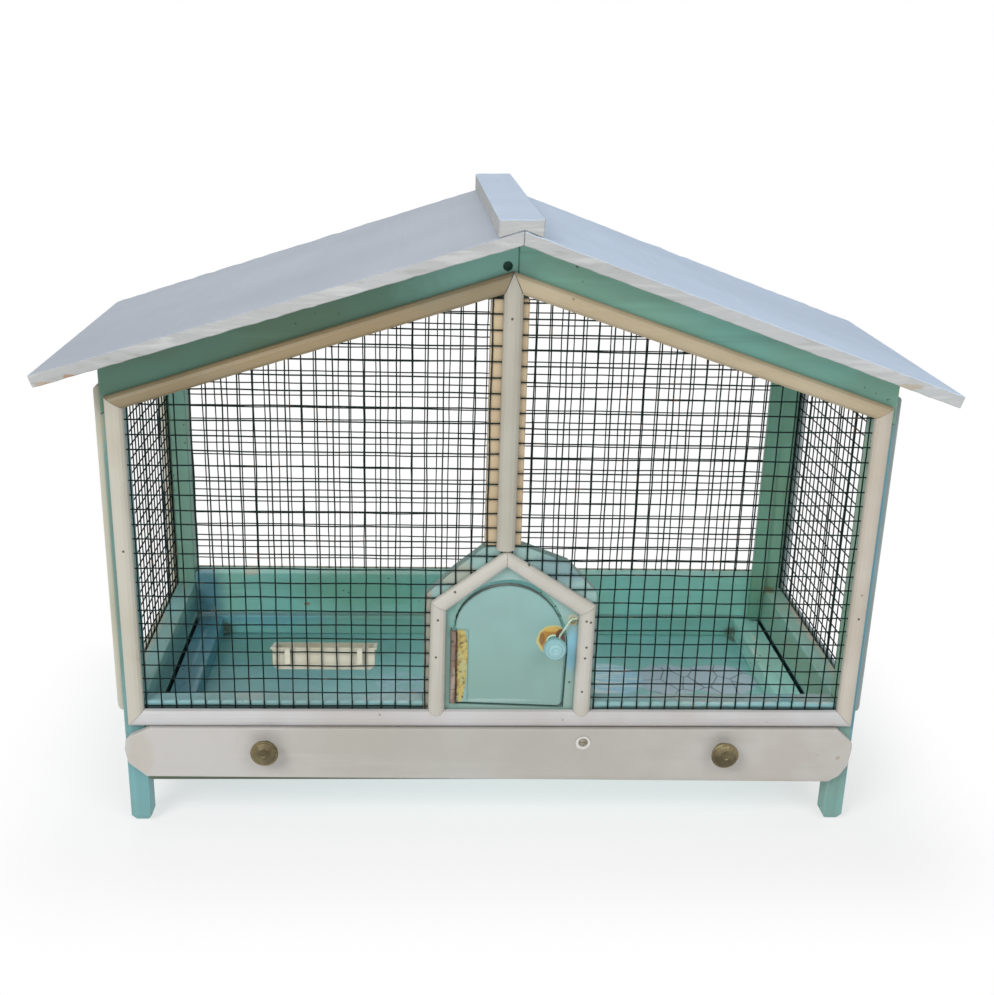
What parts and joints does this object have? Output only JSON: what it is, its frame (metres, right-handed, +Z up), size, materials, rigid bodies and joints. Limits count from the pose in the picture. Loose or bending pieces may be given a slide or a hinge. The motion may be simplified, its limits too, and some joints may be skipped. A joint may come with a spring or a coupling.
{
  "type": "wooden bird cage",
  "caption": "House-shaped wooden bird cage with wire mesh sides, pitched roof, arched front door with latch, slide-out tray and hook-on feeder.",
  "frame": {"origin": "bottom centre of the bounding box, on the floor under the feet", "axes": "+X to the right along the front, +Y from the door to the back, +Z up"},
  "size_m": [0.7476, 0.334, 0.5482],
  "materials": {
    "green_paint": "softwood brushed with turquoise green paint, faded and worn at the corners",
    "cream_paint": "cream gloss paint over half-round softwood moulding, yellowed and chipped",
    "roof_paint": "pale grey-white paint over rough boards",
    "dark_wire": "welded wire under dark green paint",
    "door_paint": "pale mint paint, worn round the knob",
    "aged_brass": "dull and tarnished",
    "painted_steel": "painted over, worn back to metal on the edges",
    "cream_plastic": "moulded, slightly yellowed"
  },
  "bodies": {
    "house": {"front_left_post": "green_paint", "front_right_post": "green_paint", "back_left_post": "green_paint", "back_right_post": "green_paint", "front_gable_rail_left": "green_paint", "front_gable_rail_right": "green_paint", "back_gable_rail_left": "green_paint", "back_gable_rail_right": "green_paint", "front_bottom_rail": "green_paint", "back_bottom_rail": "green_paint", "side_board_left": "green_paint", "side_board_right": "green_paint", "side_top_rail_left": "green_paint", "side_top_rail_right": "green_paint", "front_base_rail": "green_paint", "back_base_rail": "green_paint", "tray_runner_left": "green_paint", "tray_runner_right": "green_paint", "centre_batten": "cream_paint", "back_corner_batten": "green_paint", "roof_board_left": "roof_paint", "roof_board_right": "roof_paint", "ridge_cap": "roof_paint", "front_moulding_left": "cream_paint", "front_moulding_top_left": "cream_paint", "front_moulding_top_right": "cream_paint", "front_moulding_right": "cream_paint", "front_moulding_bottom": "cream_paint", "front_moulding_centre": "cream_paint", "back_moulding_frame": "cream_paint", "side_moulding_frame_left": "cream_paint", "side_moulding_frame_right": "cream_paint", "door_surround_left": "cream_paint", "door_surround_top_left": "cream_paint", "door_surround_top_right": "cream_paint", "door_surround_right": "cream_paint", "front_mesh_left": "dark_wire", "front_mesh_right": "dark_wire", "door_head_mesh_left": "dark_wire", "door_head_mesh_right": "dark_wire", "back_mesh": "dark_wire", "side_mesh_left": "dark_wire", "side_mesh_right": "dark_wire", "door_board": "door_paint", "hinge_leaf_fixed": "painted_steel", "hinge_pin": "aged_brass", "latch_eye": "painted_steel"},
    "tray": {"tray_floor": "green_paint", "tray_rim_left": "green_paint", "tray_rim_right": "green_paint", "tray_rim_back": "green_paint", "drawer_front": "cream_paint", "drawer_knob_left": "aged_brass", "drawer_knob_right": "aged_brass", "drawer_screw": "aged_brass"},
    "door": {"door_leaf": "door_paint", "hinge_leaf_door": "painted_steel", "door_knob": "door_paint"},
    "latch": {"latch_arm": "painted_steel"},
    "feeder": {"feeder": "cream_plastic"}
  },
  "joints": [
    {"name": "tray_slide", "type": "slide", "parent": "house", "child": "tray", "axis": [0, -1, 0], "range_m": [0, 0.25]},
    {"name": "door_hinge", "type": "hinge", "parent": "house", "child": "door", "pos_m": [-0.0377, -0.134, 0.154], "axis": [0, 0, -1], "range_deg": [0, 105]},
    {"name": "latch_turn", "type": "hinge", "parent": "door", "child": "latch", "pos_m": [0.0487, -0.1355, 0.1808], "axis": [0, -1, 0], "range_deg": [0, 120]},
    {"name": "feeder_lift", "type": "slide", "parent": "house", "child": "feeder", "axis": [0, 0, 1], "range_m": [0, 0.007]}
  ]
}
